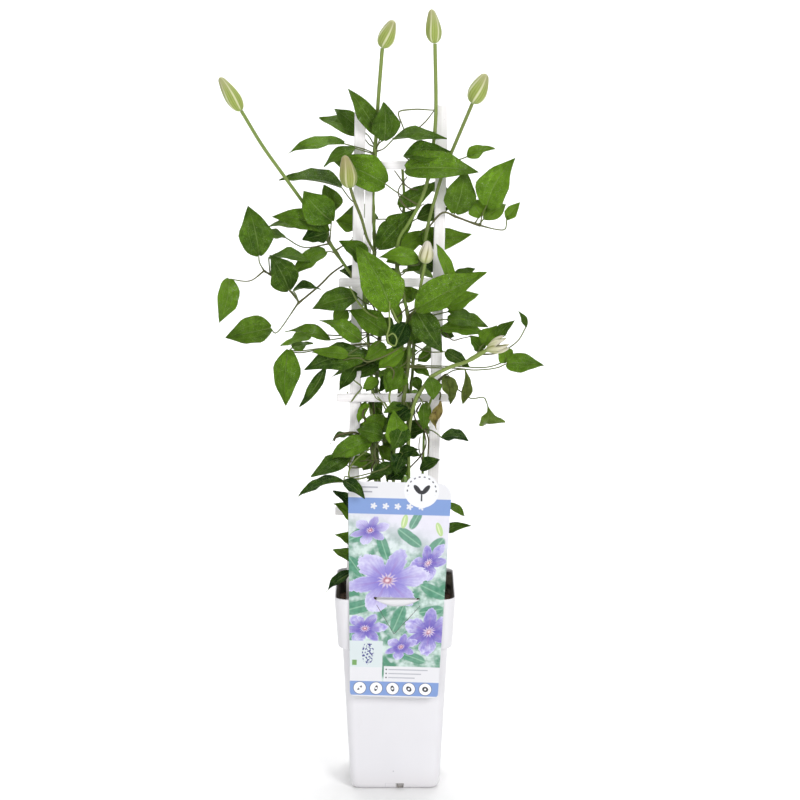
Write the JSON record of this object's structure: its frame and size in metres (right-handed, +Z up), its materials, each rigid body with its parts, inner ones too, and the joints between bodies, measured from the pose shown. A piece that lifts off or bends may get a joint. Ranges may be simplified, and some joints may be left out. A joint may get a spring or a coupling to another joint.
{
  "type": "clematis plant on a trellis",
  "caption": "Clematis with twining leafy stems and ribbed buds on a white ladder trellis, in a tall square plastic pot of soil with a label card.",
  "frame": {"origin": "centre of the pot's foot, on the surface it stands on", "axes": "+Z up along the pot's axis; the label card and the rungs face -Y; +X is to the right seen from the front"},
  "size_m": [0.3534, 0.1676, 0.8611],
  "materials": {
    "pot": "satin white moulded plastic",
    "soil": "damp potting soil with fibres",
    "painted_wood": "white painted wood",
    "card": "printed coated card",
    "leafy_stem": "green leaves with a soft sheen, brownish stems",
    "bud": "pale green ribbed bud",
    "dry_leaf": "dry brown leaf"
  },
  "bodies": {
    "root": {"pot": "pot", "soil": "soil", "trellis_rail_left": "painted_wood", "trellis_rail_right": "painted_wood", "trellis_rung_1": "painted_wood", "trellis_rung_2": "painted_wood", "trellis_rung_3": "painted_wood", "trellis_rung_4": "painted_wood", "trellis_back_slat": "painted_wood", "label_card": "card", "vine_left": "leafy_stem", "vine_middle": "leafy_stem", "vine_centre": "leafy_stem", "vine_right": "leafy_stem", "vine_front": "leafy_stem", "vine_low_left": "leafy_stem", "vine_low_right": "leafy_stem", "vine_back": "leafy_stem", "bud_left": "bud", "bud_middle": "bud", "bud_brown": "bud", "bud_centre": "bud", "bud_cream": "bud", "bud_right": "bud", "bud_open": "bud", "dry_leaf": "dry_leaf"}
  },
  "joints": []
}
